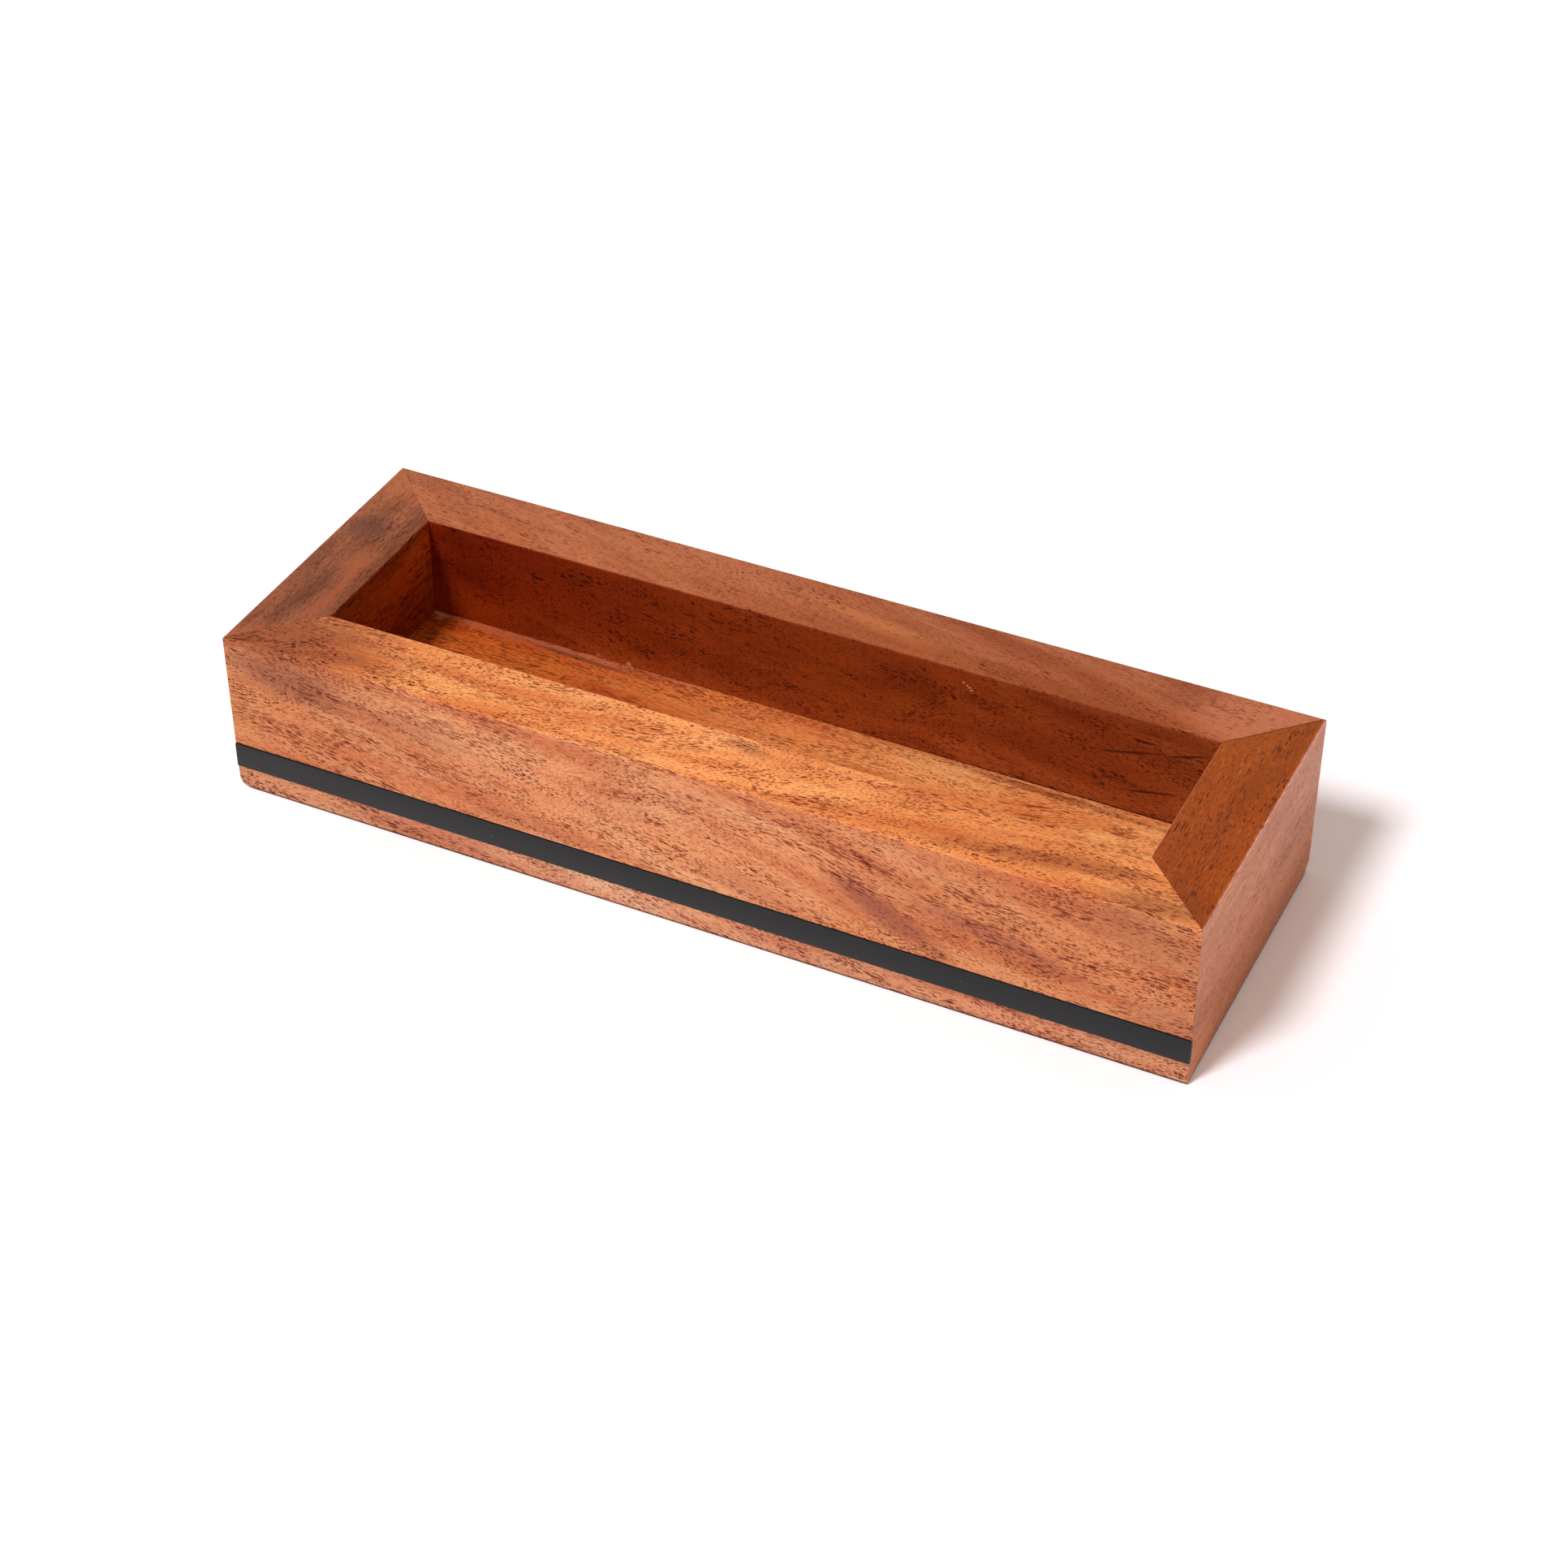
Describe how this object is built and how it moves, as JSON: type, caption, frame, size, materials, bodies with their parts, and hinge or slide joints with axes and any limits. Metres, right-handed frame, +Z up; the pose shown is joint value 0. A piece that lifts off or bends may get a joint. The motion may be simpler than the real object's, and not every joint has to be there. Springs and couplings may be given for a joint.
{
  "type": "open desk pen tray",
  "caption": "Open-topped wooden desk tray for pens: thick mitred boards around an inset floor, with a dark band let into the foot of the front board.",
  "frame": {"origin": "middle of the base, on the surface that the tray stands on", "axes": "+X along the tray to the right, +Y from the front board with the band to the back, +Z up"},
  "size_m": [0.25, 0.0843, 0.0455],
  "materials": {
    "front_board": "oiled, satin, light orange-brown with short dark pores",
    "back_board": "oiled, satin, pinkish brown with dark pores",
    "left_board": "oiled, satin, dark brown with grey stripes along its length",
    "right_board": "oiled, satin, dark orange-brown with short dark pores",
    "floor_board": "oiled, satin, orange with dark streaks",
    "band": "smooth, matte, charcoal",
    "spline": "bare pale hardwood, hidden in the joints"
  },
  "bodies": {
    "root": {"front_wall": "front_board", "back_wall": "back_board", "left_wall": "left_board", "right_wall": "right_board", "floor_panel": "floor_board", "front_band": "band", "spline_front_left": "spline", "spline_front_right": "spline", "spline_back_left": "spline", "spline_back_right": "spline"}
  },
  "joints": []
}
